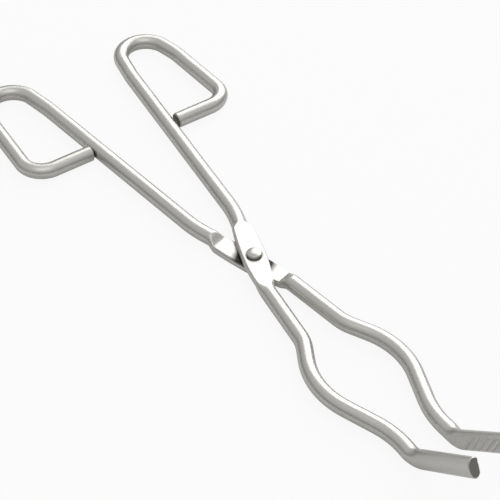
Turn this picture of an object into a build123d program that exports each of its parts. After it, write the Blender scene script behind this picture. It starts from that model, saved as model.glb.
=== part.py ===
from build123d import *
import os
from math import atan, cos, degrees, radians, sin, tan

# Crucible tongs: two arms, each bent from one round stainless rod, that cross at a
# pressed lap and turn on one rivet. Millimetres. +Z is up, +Y points to the tips.
# The origin is on the rivet's axis, in the plane that the tongs lie on. The lower arm
# has its finger loop on +X and its jaw on -X, and the upper arm is the other way round.
# An arm's outline is given for closed tongs: x is the distance from the plane where the
# jaws meet, and y the distance along that plane from the rivet.

# Rod
rod_diameter = 5.5

# Opening between the arms at rest, and what stays free between closed tips and rods
rest_opening = 5.8
tip_play = 0.1
rod_play = 0.2

# Lap: each rod is pressed to about half its height where the arms cross, and spreads
# to a leaf that is widest beside the rivet
lap_play = 0.1
lap_tilt = 15.0
lap_to_handle = 14.0
lap_to_jaw = 12.3
lap_middle_width = 8.5
lap_handle_width = 7.0
lap_jaw_width = 6.2
lap_edge_round = 1.1
shoulder_length = 4.0

# Rivet: pan head over the upper arm, tail spread into a countersink under the lower arm
rivet_diameter = 3.5
rivet_running_clearance = 0.05
rivet_head_play = 0.05
rivet_head_diameter = 5.0
rivet_head_rim = 1.05
rivet_head_crown = 0.45
rivet_head_round = 0.3
rivet_tail_diameter = 5.2
rivet_tail_angle = 90.0

# Shank, from the lap to the finger loop
shank_offset = 4.91
shank_tilt = 3.8
shank_knee_radius = 45.0

# Finger loop: the shank turns round the far end, comes back outside and crosses to
# the shank again in a short leg that stops just clear of it
loop_far_y = 125.2
loop_far_flat = 0.1
loop_inner_turn_x = 11.86
loop_inner_turn_rise = 17.5
loop_inner_turn_radius = 48.0
loop_inner_corner_x = 14.3
loop_outer_corner_x = 28.93
loop_outer_turn_x = 32.56
loop_outer_turn_rise = 13.1
loop_outer_turn_radius = 32.0
loop_leg_corner_x = 36.24
loop_leg_corner_rise = 46.5
loop_leg_corner_radius = 7.9

# End of the leg: the arms are bent by hand, and the lower one's leg ends nearer its shank
lower_leg_end_rise = 0.6
lower_leg_gap = 0.15
upper_leg_end_rise = 1.75
upper_leg_gap = 0.8

# Jaw: bowed out round the crucible, then straight to the tip bend
jaw_start_y = 13.1
jaw_tilt = 4.8
bow_start_y = 40.0
bow_start_radius = 16.0
bow_peak_x = 14.55
bow_peak_y = 59.0
bow_peak_radius = 28.0
bow_end_y = 86.5
bow_end_radius = 31.0

# Tip: bent up out of the plane of the arms and pressed to an oval, with a flat,
# serrated face that meets the other arm's
tip_bend_y = 98.2
tip_bend_radius = 9.0
tip_angle = 39.5
tip_length = 33.3
tip_root_height = 6.4
tip_root_thickness = 4.8
tip_end_height = 6.7
tip_end_thickness = 4.1
tip_face_depth = 0.45
serration_pitch = 1.9
serration_width = 1.2
serration_floor = 0.08
serration_depth = 0.4
serration_angle = 32.0
serration_margin = 3.5

# Cut ends
end_chamfer = 0.3

rod_radius = rod_diameter / 2
lap_thickness = (rod_diameter - lap_play) / 2
lap_shift = (rod_diameter - lap_thickness) / 2
bow_end_x = rod_radius + rod_play / 2
tip_bend_tangent = tip_bend_radius * tan(radians(tip_angle / 2))
tip_straight = tip_length - tip_bend_tangent
serration_step = serration_pitch / sin(radians(serration_angle))
serration_count = int((tip_straight - serration_margin) / serration_step)
serration_length = tip_end_height / sin(radians(serration_angle))
serration_flank = degrees(atan((serration_width - serration_floor) / 2 / serration_depth))
up = Vector(0, 0, 1)


def shank_x(y):
    """Distance of the shank's centre line from the meeting plane, y below the rivet."""
    return shank_offset + y * tan(radians(shank_tilt))


def jaw_x(y):
    """Distance of the jaw's centre line from that plane, y above the rivet."""
    return jaw_start_y * tan(radians(lap_tilt)) + (y - jaw_start_y) * tan(radians(jaw_tilt))


def tip_x(thickness):
    """Distance of the tip's middle from that plane, where the tip is this thick."""
    return tip_play / 2 + thickness / 2 - tip_face_depth


def arm_plane(side):
    """The plane of an arm's rod axis, turned from closed to rest about the rivet."""
    turn = radians(side * rest_opening / 2)
    return Plane(origin=(0, 0, rod_radius), x_dir=(cos(turn), sin(turn), 0), z_dir=(0, 0, 1))


def placed(side, points):
    """Points of an arm's outline for closed tongs, put where the arm lies at rest."""
    lay = arm_plane(side)
    return [lay.from_local_coords((side * x, y, 0)) for x, y in points]


def across(line, share):
    """The plane square to a line at a share of its length, with its own Y upwards."""
    along = line % share
    return Plane(origin=line @ share, x_dir=up.cross(along), z_dir=along)


def on_lap(distance):
    """A point of the lap's axis at this distance from the rivet, minus towards the handle."""
    return (-distance * sin(radians(lap_tilt)), distance * cos(radians(lap_tilt)))


def handle_points(leg_end_rise, leg_gap):
    """Corners of the rod's centre line from the lap's shoulder to the end of the leg."""
    knee_y = shank_offset / (tan(radians(lap_tilt)) - tan(radians(shank_tilt)))
    leg_corner_y = loop_far_y - loop_leg_corner_rise
    leg_end_y = leg_corner_y - leg_end_rise
    return [
        on_lap(-lap_to_handle - shoulder_length),
        (shank_x(knee_y), -knee_y),
        (loop_inner_turn_x, loop_inner_turn_rise - loop_far_y),
        (loop_inner_corner_x, -loop_far_y),
        (loop_outer_corner_x, -loop_far_y),
        (loop_outer_turn_x, loop_outer_turn_rise - loop_far_y),
        (loop_leg_corner_x, -leg_corner_y),
        (shank_x(leg_end_y) + rod_radius + leg_gap, -leg_end_y),
    ]


def far_turn_radius():
    """Radius of both turns at the loop's far end, which leaves a short flat between."""
    inner = Vector(loop_inner_corner_x - loop_inner_turn_x, -loop_inner_turn_rise)
    outer = Vector(loop_outer_turn_x - loop_outer_corner_x, loop_outer_turn_rise)
    inner_half = radians(inner.get_angle(Vector(1, 0)) / 2)
    outer_half = radians(outer.get_angle(Vector(1, 0)) / 2)
    room = loop_outer_corner_x - loop_inner_corner_x - loop_far_flat
    return room / (tan(inner_half) + tan(outer_half))


def jaw_points():
    """Corners of the rod's centre line from the lap's shoulder to the tip bend."""
    start_y = lap_to_jaw * cos(radians(lap_tilt)) + shoulder_length
    return [
        (-jaw_x(start_y), start_y),
        (-jaw_x(bow_start_y), bow_start_y),
        (-bow_peak_x, bow_peak_y),
        (-bow_end_x, bow_end_y),
        (-bow_end_x, tip_bend_y - tip_bend_tangent),
    ]


def make_arm(side, leg_end_rise, leg_gap):
    """One arm. side is 1 for the lower arm, with its loop on +X, and -1 for the upper."""
    with BuildPart() as arm:
        # Lap: a flat leaf, with its long edges rounded
        lap_ends = placed(side, [on_lap(-lap_to_handle), on_lap(lap_to_jaw)])
        with BuildLine() as lap:
            Line(*lap_ends)
        lap_floor = up * (-side * lap_shift - lap_thickness / 2)
        with BuildSketch(Plane(arm_plane(side).origin + lap_floor, x_dir=lap.line % 0)):
            with BuildLine():
                edge = ThreePointArc(
                    (-lap_to_handle, lap_handle_width / 2),
                    (0, lap_middle_width / 2),
                    (lap_to_jaw, lap_jaw_width / 2),
                )
                mirror(edge, about=Plane.XZ)
                Line((-lap_to_handle, lap_handle_width / 2), (-lap_to_handle, -lap_handle_width / 2))
                Line((lap_to_jaw, lap_jaw_width / 2), (lap_to_jaw, -lap_jaw_width / 2))
            make_face()
        extrude(amount=lap_thickness)
        fillet(edges().filter_by(GeomType.CIRCLE), lap_edge_round)
        lap_end_faces = faces().sort_by(lap.line.edge())

        # Handle and finger loop
        handle_radii = [
            shank_knee_radius,
            loop_inner_turn_radius,
            far_turn_radius(),
            far_turn_radius(),
            loop_outer_turn_radius,
            loop_leg_corner_radius,
        ]
        with BuildLine() as handle:
            corners = placed(side, handle_points(leg_end_rise, leg_gap))
            FilletPolyline(*corners, radius=handle_radii)
        with BuildSketch(across(handle.line, 0)):
            Circle(rod_radius)
        sweep(path=handle.line)
        leg_end = faces().sort_by_distance(handle.line @ 1)[0]
        chamfer(leg_end.edges(), end_chamfer)

        # Jaw, as far as the tip bend
        jaw_radii = [bow_start_radius, bow_peak_radius, bow_end_radius]
        with BuildLine() as jaw:
            FilletPolyline(*placed(side, jaw_points()), radius=jaw_radii)
        with BuildSketch(across(jaw.line, 0)):
            Circle(rod_radius)
        sweep(path=jaw.line)

        # Shoulders: the round rod runs down into the lap at both of its ends
        for lap_end, rod in ((lap_end_faces[0], handle), (lap_end_faces[-1], jaw)):
            with BuildSketch(across(rod.line, 0), mode=Mode.PRIVATE) as rod_start:
                Circle(rod_radius)
            loft(sections=[lap_end, rod_start.sketch])

        # Tip bend, where the rod goes from round to oval and moves in to the other tip
        forward = jaw.line % 1
        bend_plane = Plane(origin=jaw.line @ 1, x_dir=forward, z_dir=forward.cross(up))
        with BuildLine(bend_plane) as bend:
            JernArc(start=(0, 0), tangent=(1, 0), radius=tip_bend_radius, arc_size=tip_angle)
        with BuildSketch(across(bend.line, 0)):
            Circle(rod_radius)
        for share in (1 / 3, 2 / 3, 1):
            thickness = rod_diameter + share * (tip_root_thickness - rod_diameter)
            height = rod_diameter + share * (tip_root_height - rod_diameter)
            inward = share * (bow_end_x - tip_x(tip_root_thickness))
            with BuildSketch(across(bend.line, share)):
                with Locations((-side * inward, 0)):
                    Ellipse(thickness / 2, height / 2)
        loft()

        # Tip, a straight taper from the bend to the cut end
        tip_root = bend.line @ 1
        tip_direction = bend.line % 1
        with BuildLine() as tip:
            Line(tip_root, tip_root + tip_direction * tip_straight)
        for share, thickness, height in (
            (0, tip_root_thickness, tip_root_height),
            (1, tip_end_thickness, tip_end_height),
        ):
            with BuildSketch(across(tip.line, share)):
                with Locations((side * (tip_x(thickness) - bow_end_x), 0)):
                    Ellipse(thickness / 2, height / 2)
        loft()
        tip_end = faces().sort_by_distance(tip.line @ 1)[0]
        chamfer(tip_end.edges(), end_chamfer)

        # Flat face of the tip, and the serrations rolled into it
        inwards = arm_plane(side).x_dir * side
        face_origin = tip_root + inwards * (bow_end_x - tip_play / 2)
        tip_face = Plane(origin=face_origin, x_dir=tip_direction, z_dir=inwards)
        with BuildSketch(tip_face):
            Rectangle(2 * tip_length, 2 * tip_end_height)
        extrude(amount=rod_radius, mode=Mode.SUBTRACT)
        with BuildSketch(tip_face):
            with Locations(((tip_straight + serration_margin) / 2, 0)):
                with GridLocations(serration_step, 0, serration_count, 1):
                    Rectangle(serration_length, serration_width, rotation=side * serration_angle)
        extrude(amount=-serration_depth, taper=serration_flank, mode=Mode.SUBTRACT)
    return arm


# Lower arm, with the countersunk hole that the rivet's tail is spread into
with BuildPart() as lower_arm:
    add(make_arm(1, lower_leg_end_rise, lower_leg_gap))
    with Locations(Plane(origin=(0, 0, 0), z_dir=(0, 0, -1))):
        CounterSinkHole(
            rivet_diameter / 2,
            rivet_tail_diameter / 2,
            depth=rod_diameter,
            counter_sink_angle=rivet_tail_angle,
        )
lower_arm.part.label = "lower_arm"

# Upper arm, which turns on the rivet
with BuildPart() as upper_arm:
    add(make_arm(-1, upper_leg_end_rise, upper_leg_gap))
    with Locations((0, 0, rod_diameter)):
        Hole(rivet_diameter / 2 + rivet_running_clearance, depth=rod_diameter)
upper_arm.part.label = "upper_arm"

# Rivet, turned about its own axis from the tail up to the crown of the head
tail_depth = (rivet_tail_diameter - rivet_diameter) / 2 / tan(radians(rivet_tail_angle / 2))
head_seat = rod_diameter + rivet_head_play
head_top = head_seat + rivet_head_rim + rivet_head_crown
head_radius = rivet_head_diameter / 2
crown_radius = (head_radius**2 + rivet_head_crown**2) / (2 * rivet_head_crown)
crown_angle = 2 * degrees(atan(rivet_head_crown / head_radius))
with BuildPart() as pivot_rivet:
    with BuildSketch(Plane.XZ):
        with BuildLine():
            crown = JernArc((0, head_top), (1, 0), crown_radius, -crown_angle)
            Polyline(
                (0, head_top),
                (0, 0),
                (rivet_tail_diameter / 2, 0),
                (rivet_diameter / 2, tail_depth),
                (rivet_diameter / 2, head_seat),
                (head_radius, head_seat),
                crown @ 1,
            )
        make_face()
        rim = vertices().sort_by_distance((head_radius, head_seat + rivet_head_rim))[0]
        fillet(rim, rivet_head_round)
    revolve(axis=Axis.Z)
pivot_rivet.part.label = "pivot_rivet"

os.makedirs("parts", exist_ok=True)
for piece in (lower_arm, upper_arm, pivot_rivet):
    export_step(piece.part, f"parts/{piece.part.label}.step")
    print(piece.part.label, round(piece.part.volume, 1), piece.part.is_valid)
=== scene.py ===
from math import cos, pi, radians, sin, tan

import bpy
import numpy as np
from mathutils import Matrix, Vector


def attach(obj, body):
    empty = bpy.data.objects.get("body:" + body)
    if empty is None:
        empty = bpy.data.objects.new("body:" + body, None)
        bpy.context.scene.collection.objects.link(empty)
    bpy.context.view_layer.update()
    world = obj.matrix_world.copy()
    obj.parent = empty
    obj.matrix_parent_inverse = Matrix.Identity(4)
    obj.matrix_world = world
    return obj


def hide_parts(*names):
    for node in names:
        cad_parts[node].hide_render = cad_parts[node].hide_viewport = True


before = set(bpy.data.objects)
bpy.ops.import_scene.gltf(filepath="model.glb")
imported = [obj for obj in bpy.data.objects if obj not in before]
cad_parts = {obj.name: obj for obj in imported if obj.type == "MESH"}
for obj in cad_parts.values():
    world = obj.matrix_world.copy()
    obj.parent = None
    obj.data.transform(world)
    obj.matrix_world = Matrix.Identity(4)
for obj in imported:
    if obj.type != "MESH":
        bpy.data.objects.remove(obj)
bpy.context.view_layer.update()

MM = 0.001


# Camera: looks down at the tongs from beyond their tips, close enough that one loop's
# far end and one tip end run out of the picture, as in the photograph.
camera_azimuth = radians(56.52)
camera_elevation = radians(42.59)
camera_distance = 631.8 * MM
camera_aim = Vector((-1.77, -5.12, 2.75)) * MM
camera_data = bpy.data.cameras.new("camera")
camera_data.sensor_width = 36
camera_data.lens = 138.2
camera_data.clip_start = 0.01
camera = bpy.data.objects.new("camera", camera_data)
bpy.context.scene.collection.objects.link(camera)
towards_camera = Vector((
    cos(camera_elevation) * cos(camera_azimuth),
    cos(camera_elevation) * sin(camera_azimuth),
    sin(camera_elevation),
))
camera.location = camera_aim + towards_camera * camera_distance
camera.rotation_euler = (pi / 2 - camera_elevation, 0, camera_azimuth + pi / 2)
bpy.context.scene.camera = camera
bpy.context.scene.view_settings.view_transform = "Standard"


# Floor: a white table that runs out of the picture. Seen straight it is nearly white and
# takes a faint shadow of the tongs. In the metal it is mostly the lit laminate itself.
def linear(code):
    """An sRGB hex colour as the linear numbers that Blender works in."""
    parts = [int(code[i:i + 2], 16) / 255 for i in (1, 3, 5)]
    return [p / 12.92 if p <= 0.04045 else ((p + 0.055) / 1.055) ** 2.4 for p in parts] + [1.0]


def add(tree, kind, inputs=(), **settings):
    """Adds a node, sets it, and gives its inputs a value or another node's output."""
    node = tree.nodes.new(kind)
    for name, value in settings.items():
        setattr(node, name, value)
    for socket, value in dict(inputs).items():
        if isinstance(value, bpy.types.NodeSocket):
            tree.links.new(value, node.inputs[socket])
        else:
            node.inputs[socket].default_value = value
    return node


table_half = 3.0
table_mesh = bpy.data.meshes.new("table")
table_mesh.from_pydata(
    [(x, y, 0) for x, y in ((-1, -1), (1, -1), (1, 1), (-1, 1))], [], [(0, 1, 2, 3)]
)
table_mesh.transform(Matrix.Scale(table_half, 4))
table = bpy.data.objects.new("table", table_mesh)
bpy.context.scene.collection.objects.link(table)

white_laminate = bpy.data.materials.new("white_laminate")
white_laminate.use_nodes = True
tree = white_laminate.node_tree
tree.nodes.clear()
white_to_camera = 0.9
white_to_metal = 0.12
path = add(tree, "ShaderNodeLightPath")
seen = add(tree, "ShaderNodeMath", {
    0: path.outputs["Is Camera Ray"], 1: white_to_camera,
}, operation="MULTIPLY")
seen = add(tree, "ShaderNodeMath", {
    0: path.outputs["Is Glossy Ray"], 1: white_to_metal, 2: seen.outputs[0],
}, operation="MULTIPLY_ADD")
lit = add(tree, "ShaderNodeBsdfDiffuse", {"Color": linear("#EDEDED")})
bare = add(tree, "ShaderNodeEmission", {"Color": linear("#FFFFFF"), "Strength": 1.0})
both = add(tree, "ShaderNodeMixShader", {0: seen.outputs[0], 1: lit.outputs[0], 2: bare.outputs[0]})
add(tree, "ShaderNodeOutputMaterial", {"Surface": both.outputs[0]})
table_mesh.materials.append(white_laminate)


# Studio: a white background, an even grey room that lights the tongs, and one large
# softbox behind them on the right, which draws the bright line along each rod.
world = bpy.data.worlds.new("studio")
world.use_nodes = True
bpy.context.scene.world = world
tree = world.node_tree
tree.nodes.clear()
path = add(tree, "ShaderNodeLightPath")
direction = add(tree, "ShaderNodeTexCoord")
height = add(tree, "ShaderNodeSeparateXYZ", {0: direction.outputs["Generated"]})
room = add(tree, "ShaderNodeValToRGB", {0: height.outputs["Z"]})
for stop, rise, tone in zip(room.color_ramp.elements, (0.03, 0.45), ("#3C3C3A", "#CFCFCE")):
    stop.position = rise
    stop.color = linear(tone)
shown = add(tree, "ShaderNodeMix", {
    "Factor": path.outputs["Is Camera Ray"], "A": room.outputs[0], "B": linear("#FFFFFF"),
}, data_type="RGBA")
light = add(tree, "ShaderNodeBackground", {"Color": linear("#FFFFFF"), "Strength": 0.45})
view = add(tree, "ShaderNodeBackground", {"Color": shown.outputs["Result"], "Strength": 1.0})
straight = add(tree, "ShaderNodeMath", {
    0: path.outputs["Is Camera Ray"], 1: path.outputs["Is Glossy Ray"],
}, operation="MAXIMUM")
straight = add(tree, "ShaderNodeMath", {
    0: straight.outputs[0], 1: path.outputs["Is Transmission Ray"],
}, operation="MAXIMUM")
sky = add(tree, "ShaderNodeMixShader", {
    0: straight.outputs[0], 1: light.outputs[0], 2: view.outputs[0],
})
add(tree, "ShaderNodeOutputWorld", {"Surface": sky.outputs[0]})

# Angles are in degrees, distance and size in metres, power in watts
for name, azimuth, elevation, distance, size, power in (
    ("softbox", 215, 34, 1.6, 1.4, 13),
    ("fill", 60, 70, 1.6, 1.2, 3),
):
    lamp_data = bpy.data.lights.new(name, "AREA")
    lamp_data.shape = "SQUARE"
    lamp_data.size = size
    lamp_data.energy = power
    lamp = bpy.data.objects.new(name, lamp_data)
    bpy.context.scene.collection.objects.link(lamp)
    out = Vector((
        cos(radians(elevation)) * cos(radians(azimuth)),
        cos(radians(elevation)) * sin(radians(azimuth)),
        sin(radians(elevation)),
    ))
    lamp.location = out * distance
    lamp.rotation_euler = out.to_track_quat("Z", "Y").to_euler()


# Arms: two pieces of 5.5 mm round stainless rod, bent cold to the loop, the bow and the
# upturned tip. Each is pressed flat where they cross, and pressed oval at the tip, with
# a flat face that is cut with slanting serrations.
rod_radius = 2.75 * MM
rest_turn = radians(5.8 / 2)
lap_tilt = radians(15)
shank_tilt = radians(3.8)
jaw_tilt = radians(4.8)
shank_offset = 4.91
handle_end = 125.2
leg_up = 46.5
jaw_start = 13.1
bow_start = 40.0
tip_offset = 2.85
lap_to_handle = 14.0 * MM
lap_to_jaw = 12.3 * MM
shoulder = 4.0 * MM
lap_press = 1.35 * MM
lap_widths = (3.5 * MM, 4.25 * MM, 3.1 * MM)
tip_bend = 98.2
tip_bend_radius = 9.0
tip_angle = radians(39.5)
tip_length = 33.3
tip_straight = (tip_length - tip_bend_radius * tan(tip_angle / 2)) * MM
tip_thickness = (4.8 * MM, 4.1 * MM)
tip_height = (6.4 * MM, 6.7 * MM)
tip_face = 2.8 * MM
end_break = 0.3 * MM
end_lean = radians(14)
end_lean_run = 4 * MM
station_step = 0.5 * MM
press_clearance = 0.6 * MM
face_reach = 0.45 * MM
face_softness = 0.12 * MM
wave_length = 9 * MM
rivet_radius = 1.75 * MM
running_radius = 1.8 * MM
sink_radius = 3.1 * MM
sink_depth = 1.35 * MM
sink_start = -0.5 * MM


def corner_line(side, leg_end_rise, leg_gap):
    """Corners of an arm's centre line, from the leg's end round to the tip, and its radii."""
    leg_y = handle_end - leg_up
    end_y = leg_y - leg_end_rise
    knee_y = shank_offset / (tan(lap_tilt) - tan(shank_tilt))
    end_x = shank_offset + end_y * tan(shank_tilt) + rod_radius / MM + leg_gap
    jaw_x = jaw_start * tan(lap_tilt)
    bow_x = jaw_x + (bow_start - jaw_start) * tan(jaw_tilt)

    # Each row is x, y and bend radius in mm, with the lap's centre at 0, 0
    flat = [
        (end_x, -end_y, 0),
        (36.24, -leg_y, 7.9),
        (32.56, 13.1 - handle_end, 32.0),
        (28.93, -handle_end, 9.2),
        (14.3, -handle_end, 9.2),
        (11.86, 17.5 - handle_end, 48.0),
        (shank_offset + knee_y * tan(shank_tilt), -knee_y, 45.0),
        (-jaw_x, jaw_start, 10.0),
        (-bow_x, bow_start, 16.0),
        (-14.55, 59.0, 28.0),
        (-tip_offset, 86.5, 31.0),
        (-tip_offset, tip_bend, tip_bend_radius),
    ]
    corners = [Vector((side * x, y, 0)) for x, y, _ in flat]
    corners.append(corners[-1] + Vector((0, cos(tip_angle), sin(tip_angle))) * tip_length)
    lay = Matrix.Translation((0, 0, rod_radius)) @ Matrix.Rotation(side * rest_turn, 4, "Z")
    return [lay @ (c * MM) for c in corners], [r * MM for _, _, r in flat[1:]]


def bent(corners, radii):
    """Points along a line whose corners are bent to these radii."""
    points = [corners[0]]
    for before, corner, after, radius in zip(corners, corners[1:], corners[2:], radii):
        back = (before - corner).normalized()
        ahead = (after - corner).normalized()
        half_turn = (pi - back.angle(ahead)) / 2
        centre = corner + (back + ahead).normalized() * radius / cos(half_turn)
        reach = radius * tan(half_turn)
        first = (corner + back * reach - centre).normalized()
        last = (corner + ahead * reach - centre).normalized()
        steps = max(4, int(2 * half_turn * radius / station_step * 2))
        points += [centre + first.slerp(last, i / steps) * radius for i in range(steps + 1)]
    return points + [corners[-1]]


def smooth(values):
    """The same rise from 0 to 1, with soft ends."""
    values = np.clip(values, 0, 1)
    return values * values * (3 - 2 * values)


def rod_path(name, side, leg_end_rise, leg_gap):
    """A line of stations along an arm, each with the size and place of the rod's section."""
    corners, radii = corner_line(side, leg_end_rise, leg_gap)
    points = np.array(bent(corners, radii))
    run = np.concatenate([[0], np.cumsum(np.linalg.norm(np.diff(points, axis=0), axis=1))])
    length = run[-1]
    even = np.linspace(0, length, int(length / station_step) + 1)
    even = np.sort(np.concatenate([even, [end_break, length - end_break]]))
    centre = np.stack([np.interp(even, run, points[:, i]) for i in range(3)], 1)
    along = np.gradient(centre, even, axis=0)
    along /= np.linalg.norm(along, axis=1)[:, None]
    across = side * np.cross(along, (0, 0, 1))
    across /= np.linalg.norm(across, axis=1)[:, None]
    upright = side * np.cross(across, along)

    lying = even < length - tip_length * MM - 2 * rod_radius
    pivot = even[np.argmin(np.linalg.norm(centre[:, :2], axis=1) + 1.0 * ~lying)]
    station = even - pivot
    tip_start = length - tip_straight - pivot
    bend_start = tip_start - tip_bend_radius * tip_angle * MM

    # Share of the press at each station: 1 on the lap, and 0 on the round rod
    lap_end = np.where(station < 0, lap_to_handle, lap_to_jaw)
    beyond = (np.abs(station) - lap_end) / shoulder
    pressed = 1 - smooth(beyond)
    lap_half_width = np.where(station < 0, lap_widths[0], lap_widths[2])
    leaf = lap_widths[1] + (lap_half_width - lap_widths[1]) * (station / lap_end) ** 2
    leaf = np.where(beyond > 0, lap_half_width, leaf)
    half_width = rod_radius + (leaf - rod_radius) * pressed
    press = rod_radius + (lap_press - rod_radius) * pressed
    press = press + press_clearance * smooth(beyond - 1)
    drop = -side * (rod_radius - lap_press) * pressed

    # Share of the way from round rod to the tip's root, and from there to its end
    turned = np.clip((station - bend_start) / (tip_start - bend_start), 0, 1)
    tapered = np.clip((station - tip_start) / tip_straight, 0, 1)
    thickness = tip_thickness[0] + (tip_thickness[1] - tip_thickness[0]) * tapered
    height = tip_height[0] + (tip_height[1] - tip_height[0]) * tapered
    half_width = half_width + (thickness / 2 - rod_radius) * turned
    half_height = rod_radius + (height / 2 - rod_radius) * turned
    press = np.where(turned > 0, 2 * rod_radius, press)
    shift = (tip_face + face_reach - thickness / 2) * turned
    face = np.where(turned > 0, tip_face + (1 - turned) * rod_radius, 2 * rod_radius)

    # The tip's end is ground a little out of square, so its lower edge is set back
    lean = tan(end_lean) * np.clip((station - station[-1]) / end_lean_run + 1, 0, 1)

    # Both cut ends have their edge broken
    trim = np.where((even == even[0]) | (even == even[-1]), end_break, 0)
    mesh = bpy.data.meshes.new(name)
    mesh.from_pydata(centre.tolist(), [(i, i + 1) for i in range(len(even) - 1)], [])
    for key, values in (
        ("centre", centre),
        ("across", across),
        ("upright", upright),
        ("along", along),
        ("station", station),
        ("half_width", half_width - trim),
        ("half_height", half_height - trim),
        ("press", press - trim),
        ("drop", drop),
        ("shift", shift),
        ("face", face - trim),
        ("cut", (trim > 0).astype(float)),
        ("lean", lean),
    ):
        kind, field = ("FLOAT_VECTOR", "vector") if values.ndim == 2 else ("FLOAT", "value")
        mesh.attributes.new(key, kind, "POINT").data.foreach_set(field, values.astype(np.float32).ravel())
    piece = bpy.data.objects.new(name, mesh)
    bpy.context.scene.collection.objects.link(piece)
    return piece


# The tree sweeps a ring along those stations, presses it, gives it the slight waves of
# rod that was bent by hand, and then cuts the serrations and the rivet's hole.
rod_tree = bpy.data.node_groups.new("pressed_rod", "GeometryNodeTree")
sockets = {}
for name, kind, default in (
    ("Path", "NodeSocketGeometry", None),
    ("Sides", "NodeSocketInt", 64),
    ("Hand", "NodeSocketFloat", 1.0),
    ("Edge Softness", "NodeSocketFloat", 0.3 * MM),
    ("Wave Height", "NodeSocketFloat", 0.03 * MM),
    ("Groove Count", "NodeSocketInt", 8),
    ("Groove Start", "NodeSocketVector", None),
    ("Groove Step", "NodeSocketVector", None),
    ("Groove Turn", "NodeSocketVector", None),
    ("Groove Size", "NodeSocketVector", None),
    ("Hole Radius", "NodeSocketFloat", 1.75 * MM),
    ("Countersunk", "NodeSocketBool", False),
    ("Steel", "NodeSocketMaterial", None),
    ("Cut Steel", "NodeSocketMaterial", None),
):
    socket = rod_tree.interface.new_socket(name, in_out="INPUT", socket_type=kind)
    if default is not None:
        socket.default_value = default
    sockets[name] = socket.identifier
rod_tree.interface.new_socket("Rod", in_out="OUTPUT", socket_type="NodeSocketGeometry")

given = add(rod_tree, "NodeGroupInput").outputs
ring = add(rod_tree, "GeometryNodeCurvePrimitiveCircle", {"Resolution": given["Sides"], "Radius": 1.0})
place = add(rod_tree, "GeometryNodeInputPosition")
ring = add(rod_tree, "GeometryNodeStoreNamedAttribute", {
    "Geometry": ring.outputs[0], "Name": "ring", "Value": place.outputs[0],
}, data_type="FLOAT_VECTOR", domain="POINT")
line = add(rod_tree, "GeometryNodeMeshToCurve", {0: given["Path"]})
tube = add(rod_tree, "GeometryNodeCurveToMesh", {
    "Curve": line.outputs[0], "Profile Curve": ring.outputs[0], "Fill Caps": True,
})

read = {}
for kind, names in (
    ("FLOAT_VECTOR", ("centre", "across", "upright", "along", "ring")),
    ("FLOAT", ("station", "half_width", "half_height", "press", "drop", "shift", "face", "cut", "lean")),
):
    for name in names:
        stored = add(rod_tree, "GeometryNodeInputNamedAttribute", {"Name": name}, data_type=kind)
        read[name] = stored.outputs[0]

turn = add(rod_tree, "ShaderNodeSeparateXYZ", {0: read["ring"]}).outputs
sideways = add(rod_tree, "ShaderNodeMath", {0: turn["X"], 1: given["Hand"]}, operation="MULTIPLY")
u = add(rod_tree, "ShaderNodeMath", {
    0: sideways.outputs[0], 1: read["half_width"], 2: read["shift"],
}, operation="MULTIPLY_ADD")
u = add(rod_tree, "ShaderNodeMath", {
    0: u.outputs[0], 1: read["face"], 2: face_softness,
}, operation="SMOOTH_MIN")
v = add(rod_tree, "ShaderNodeMath", {0: turn["Y"], 1: read["half_height"]}, operation="MULTIPLY")
sign = add(rod_tree, "ShaderNodeMath", {0: v.outputs[0]}, operation="SIGN")
v = add(rod_tree, "ShaderNodeMath", {0: v.outputs[0]}, operation="ABSOLUTE")
v = add(rod_tree, "ShaderNodeMath", {
    0: v.outputs[0], 1: read["press"], 2: given["Edge Softness"],
}, operation="SMOOTH_MIN")
v = add(rod_tree, "ShaderNodeMath", {
    0: v.outputs[0], 1: sign.outputs[0], 2: read["drop"],
}, operation="MULTIPLY_ADD")

along_rod = add(rod_tree, "ShaderNodeMath", {0: read["station"], 1: 1 / wave_length}, operation="MULTIPLY")
wave_place = add(rod_tree, "ShaderNodeCombineXYZ", {
    "X": along_rod.outputs[0], "Y": sideways.outputs[0], "Z": turn["Y"],
})
wave = add(rod_tree, "ShaderNodeTexNoise", {
    "Vector": wave_place.outputs[0], "Scale": 1.0, "Detail": 2.0,
})
wave = add(rod_tree, "ShaderNodeMath", {0: wave.outputs[0], 1: 0.5}, operation="SUBTRACT")
wave = add(rod_tree, "ShaderNodeMath", {0: wave.outputs[0], 1: given["Wave Height"]}, operation="MULTIPLY")

outward = add(rod_tree, "ShaderNodeMath", {
    0: wave.outputs[0], 1: sideways.outputs[0], 2: u.outputs[0],
}, operation="MULTIPLY_ADD")
upward = add(rod_tree, "ShaderNodeMath", {
    0: wave.outputs[0], 1: turn["Y"], 2: v.outputs[0],
}, operation="MULTIPLY_ADD")
out = add(rod_tree, "ShaderNodeVectorMath", {
    0: read["across"], "Scale": outward.outputs[0],
}, operation="SCALE")
up = add(rod_tree, "ShaderNodeVectorMath", {
    0: read["upright"], "Scale": upward.outputs[0],
}, operation="SCALE")
spot = add(rod_tree, "ShaderNodeVectorMath", {0: read["centre"], 1: out.outputs[0]}, operation="ADD")
spot = add(rod_tree, "ShaderNodeVectorMath", {0: spot.outputs[0], 1: up.outputs[0]}, operation="ADD")
below_top = add(rod_tree, "ShaderNodeMath", {
    0: upward.outputs[0], 1: read["half_height"],
}, operation="SUBTRACT")
set_back = add(rod_tree, "ShaderNodeMath", {
    0: below_top.outputs[0], 1: read["lean"],
}, operation="MULTIPLY")
ground = add(rod_tree, "ShaderNodeVectorMath", {
    0: read["along"], "Scale": set_back.outputs[0],
}, operation="SCALE")
spot = add(rod_tree, "ShaderNodeVectorMath", {0: spot.outputs[0], 1: ground.outputs[0]}, operation="ADD")
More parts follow.
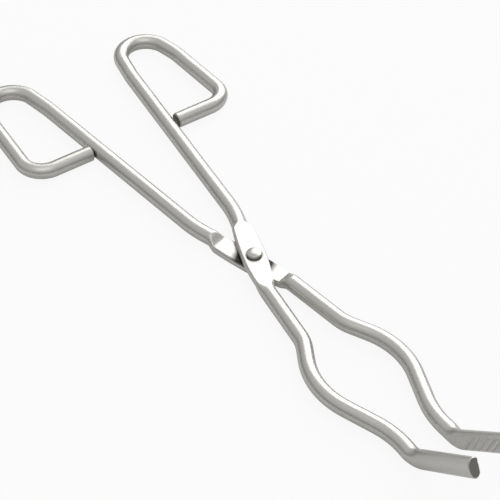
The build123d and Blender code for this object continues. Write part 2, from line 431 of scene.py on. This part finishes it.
rod = add(rod_tree, "GeometryNodeSetPosition", {"Geometry": tube.outputs[0], "Position": spot.outputs[0]})

grain_place = add(rod_tree, "ShaderNodeCombineXYZ", {
    "X": read["station"], "Y": sideways.outputs[0], "Z": turn["Y"],
})
rod = add(rod_tree, "GeometryNodeStoreNamedAttribute", {
    "Geometry": rod.outputs[0], "Name": "grain", "Value": grain_place.outputs[0],
}, data_type="FLOAT_VECTOR", domain="CORNER")
sawn = add(rod_tree, "ShaderNodeMath", {0: read["cut"], 1: 0.9}, operation="GREATER_THAN")
rod = add(rod_tree, "GeometryNodeStoreNamedAttribute", {
    "Geometry": rod.outputs[0], "Name": "sawn", "Value": sawn.outputs[0],
}, data_type="BOOLEAN", domain="FACE")

groove_row = add(rod_tree, "GeometryNodeMeshLine", {
    "Count": given["Groove Count"], "Start Location": given["Groove Start"], "Offset": given["Groove Step"],
}, mode="OFFSET")
wedge = add(rod_tree, "GeometryNodeMeshCylinder", {"Vertices": 4, "Radius": 1.0, "Depth": 1.0})
groove_turn = add(rod_tree, "FunctionNodeEulerToRotation", {0: given["Groove Turn"]})
grooves = add(rod_tree, "GeometryNodeInstanceOnPoints", {
    "Points": groove_row.outputs[0], "Instance": wedge.outputs[0],
    "Rotation": groove_turn.outputs[0], "Scale": given["Groove Size"],
})
grooves = add(rod_tree, "GeometryNodeRealizeInstances", {0: grooves.outputs[0]})

drill = add(rod_tree, "GeometryNodeMeshCylinder", {
    "Vertices": 64, "Radius": given["Hole Radius"], "Depth": 6 * rod_radius,
})
sink = add(rod_tree, "GeometryNodeMeshCone", {
    "Vertices": 64, "Radius Top": rivet_radius, "Radius Bottom": sink_radius, "Depth": sink_depth,
})
sink = add(rod_tree, "GeometryNodeTransform", {
    "Geometry": sink.outputs[0], "Translation": (0, 0, sink_start),
})
sink = add(rod_tree, "GeometryNodeSwitch", {
    "Switch": given["Countersunk"], "True": sink.outputs[0],
}, input_type="GEOMETRY")
rod = add(rod_tree, "GeometryNodeMeshBoolean", {
    "Mesh 1": rod.outputs[0], "Mesh 2": grooves.outputs[0],
}, operation="DIFFERENCE", solver="MANIFOLD")
rod_tree.links.new(drill.outputs[0], rod.inputs["Mesh 2"])
rod_tree.links.new(sink.outputs[0], rod.inputs["Mesh 2"])

rod = add(rod_tree, "GeometryNodeSetShadeSmooth", {"Geometry": rod.outputs[0]}, domain="FACE")
bend = add(rod_tree, "GeometryNodeInputMeshEdgeAngle")
sharp = add(rod_tree, "ShaderNodeMath", {0: bend.outputs[0], 1: radians(30)}, operation="GREATER_THAN")
rod = add(rod_tree, "GeometryNodeSetShadeSmooth", {
    "Geometry": rod.outputs[0], "Selection": sharp.outputs[0], "Shade Smooth": False,
}, domain="EDGE")
rod = add(rod_tree, "GeometryNodeRealizeInstances", {0: rod.outputs[0]})
rod = add(rod_tree, "GeometryNodeSetMaterial", {"Geometry": rod.outputs[0], "Material": given["Steel"]})
ends = add(rod_tree, "GeometryNodeInputNamedAttribute", {"Name": "sawn"}, data_type="BOOLEAN")
rod = add(rod_tree, "GeometryNodeSetMaterial", {
    "Geometry": rod.outputs[0], "Selection": ends.outputs[0], "Material": given["Cut Steel"],
})
add(rod_tree, "NodeGroupOutput", {0: rod.outputs[0]})

# Polished stainless rod, tumbled after bending: bright and a little soft. Streaks about
# 17 mm long and 0.9 mm wide vary the gloss, over drawing lines 7 mm long and 0.3 mm wide.
polished_rod = bpy.data.materials.new("polished_stainless_rod")
polished_rod.use_nodes = True
tree = polished_rod.node_tree
surface = tree.nodes["Principled BSDF"]
surface.inputs["Metallic"].default_value = 1.0
drawn_line_depth = 0.02 * MM
grain = add(tree, "ShaderNodeAttribute", attribute_name="grain")
stretched = add(tree, "ShaderNodeMapping", {"Vector": grain.outputs["Vector"], "Scale": (60, 3, 3)})
streak = add(tree, "ShaderNodeTexNoise", {"Vector": stretched.outputs[0], "Scale": 1.0, "Detail": 4.0})
rough = add(tree, "ShaderNodeMapRange", {
    "Value": streak.outputs[0], "From Min": 0.3, "From Max": 0.7, "To Min": 0.3, "To Max": 0.42,
})
tree.links.new(rough.outputs[0], surface.inputs["Roughness"])
fine = add(tree, "ShaderNodeMapping", {"Vector": grain.outputs["Vector"], "Scale": (150, 9, 9)})
fine = add(tree, "ShaderNodeTexNoise", {"Vector": fine.outputs[0], "Scale": 1.0, "Detail": 3.0})
lines = add(tree, "ShaderNodeBump", {
    "Height": fine.outputs[0], "Strength": 0.25, "Distance": drawn_line_depth,
})
tree.links.new(lines.outputs[0], surface.inputs["Normal"])

# Painted shade: the steel's colour is darkened to near black where the laps meet and in a ring round the
# rivet's head, standing in for the shade in those crevices
spot = add(tree, "ShaderNodeTexCoord").outputs["Object"]
spot = add(tree, "ShaderNodeSeparateXYZ", {0: spot}).outputs
flat_spot = add(tree, "ShaderNodeCombineXYZ", {"X": spot["X"], "Y": spot["Y"]})
reach = add(tree, "ShaderNodeVectorMath", {0: flat_spot.outputs[0]}, operation="LENGTH").outputs["Value"]
level = add(tree, "ShaderNodeMath", {0: spot["Z"], 1: rod_radius}, operation="SUBTRACT")
level = add(tree, "ShaderNodeMath", {0: level.outputs[0]}, operation="ABSOLUTE")
# painted shade along the seam between the two laps, at the height where they meet
painted_seam_shade = add(tree, "ShaderNodeMapRange", {
    "Value": level.outputs[0], "From Min": 0.1 * MM, "From Max": 0.9 * MM, "To Min": 1.0, "To Max": 0.0,
})
near = add(tree, "ShaderNodeMapRange", {
    "Value": reach, "From Min": 6.0 * MM, "From Max": 8.5 * MM, "To Min": 1.0, "To Max": 0.0,
})
painted_seam_shade = add(tree, "ShaderNodeMath", {0: painted_seam_shade.outputs[0], 1: near.outputs[0]}, operation="MULTIPLY")
# painted shade in a ring round the foot of the rivet's head
painted_collar_shade = add(tree, "ShaderNodeMapRange", {
    "Value": reach, "From Min": 2.55 * MM, "From Max": 3.3 * MM, "To Min": 0.9, "To Max": 0.0,
})
painted_crevice_shade = add(tree, "ShaderNodeMath", {0: painted_seam_shade.outputs[0], 1: painted_collar_shade.outputs[0]}, operation="MAXIMUM")
# the dark colour is painted shade, mixed into the steel's colour by the masks above
colour = add(tree, "ShaderNodeMix", {
    "Factor": painted_crevice_shade.outputs[0], "A": linear("#CFCDC9"), "B": linear("#33302C"),
}, data_type="RGBA")
tree.links.new(colour.outputs["Result"], surface.inputs["Base Color"])

# The same steel where it was sheared and ground: matt and darker, so each end shows as a
# plain dark oval.
sawn_steel = bpy.data.materials.new("ground_stainless_end")
sawn_steel.use_nodes = True
surface = sawn_steel.node_tree.nodes["Principled BSDF"]
surface.inputs["Base Color"].default_value = linear("#8E8C88")
surface.inputs["Metallic"].default_value = 1.0
surface.inputs["Roughness"].default_value = 0.5

groove_pitch = 1.9 * MM
groove_width = 1.2 * MM
groove_depth = 0.4 * MM
groove_angle = radians(32)
groove_margin = 3.5 * MM
groove_step = groove_pitch / sin(groove_angle)
groove_count = int((tip_straight - groove_margin) / groove_step)

for node, body, side, leg_end_rise, leg_gap in (
    ("lower_arm", "lower", 1, 0.6, 0.15),
    ("upper_arm", "upper", -1, 1.75, 0.8),
):
    path = rod_path(node + "_path", side, leg_end_rise, leg_gap)
    corners, _ = corner_line(side, leg_end_rise, leg_gap)
    tip_along = (corners[-1] - corners[-2]).normalized()
    inward = side * tip_along.cross(Vector((0, 0, 1))).normalized()
    tip_up = side * inward.cross(tip_along)
    middle = (tip_straight + groove_margin) / 2
    first = middle - (groove_count - 1) / 2 * groove_step
    tip_root = corners[-1] - tip_along * tip_straight
    start = tip_root + tip_along * first + inward * (tip_face + groove_depth)
    groove_long = tip_along * cos(groove_angle) + tip_up * sin(groove_angle)
    groove_basis = Matrix((inward.cross(groove_long), inward, groove_long)).transposed()
    modifier = path.modifiers.new("rod", "NODES")
    modifier.node_group = rod_tree
    for name, value in (
        ("Sides", 64),
        ("Hand", float(-side)),
        ("Edge Softness", 0.3 * MM),
        ("Wave Height", 0.05 * MM),
        ("Groove Count", groove_count),
        ("Groove Start", start),
        ("Groove Step", tip_along * groove_step),
        ("Groove Turn", groove_basis.to_euler()),
        ("Groove Size", (groove_width, 2 * groove_depth, 4 * rod_radius / sin(groove_angle))),
        ("Hole Radius", rivet_radius if side > 0 else running_radius),
        ("Countersunk", side > 0),
        ("Steel", polished_rod),
        ("Cut Steel", sawn_steel),
    ):
        modifier[sockets[name]] = value
    bpy.context.view_layer.update()
    shape = bpy.data.meshes.new_from_object(path.evaluated_get(bpy.context.evaluated_depsgraph_get()))
    bpy.data.objects.remove(path)
    shape.materials.pop(index=0)
    arm = bpy.data.objects.new(node + "_rod", shape)
    bpy.context.scene.collection.objects.link(arm)
    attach(arm, body)
    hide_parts(node)


# Rivet: a turned stainless pan-head rivet that holds both laps together. Its shank passes
# through them, and its tail is spread into a countersink underneath.
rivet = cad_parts["pivot_rivet"]
turned_rivet = bpy.data.materials.new("turned_stainless_rivet")
turned_rivet.use_nodes = True
surface = turned_rivet.node_tree.nodes["Principled BSDF"]
surface.inputs["Base Color"].default_value = linear("#C4C2BE")
surface.inputs["Metallic"].default_value = 1.0
surface.inputs["Roughness"].default_value = 0.3
rivet.material_slots[0].material = turned_rivet
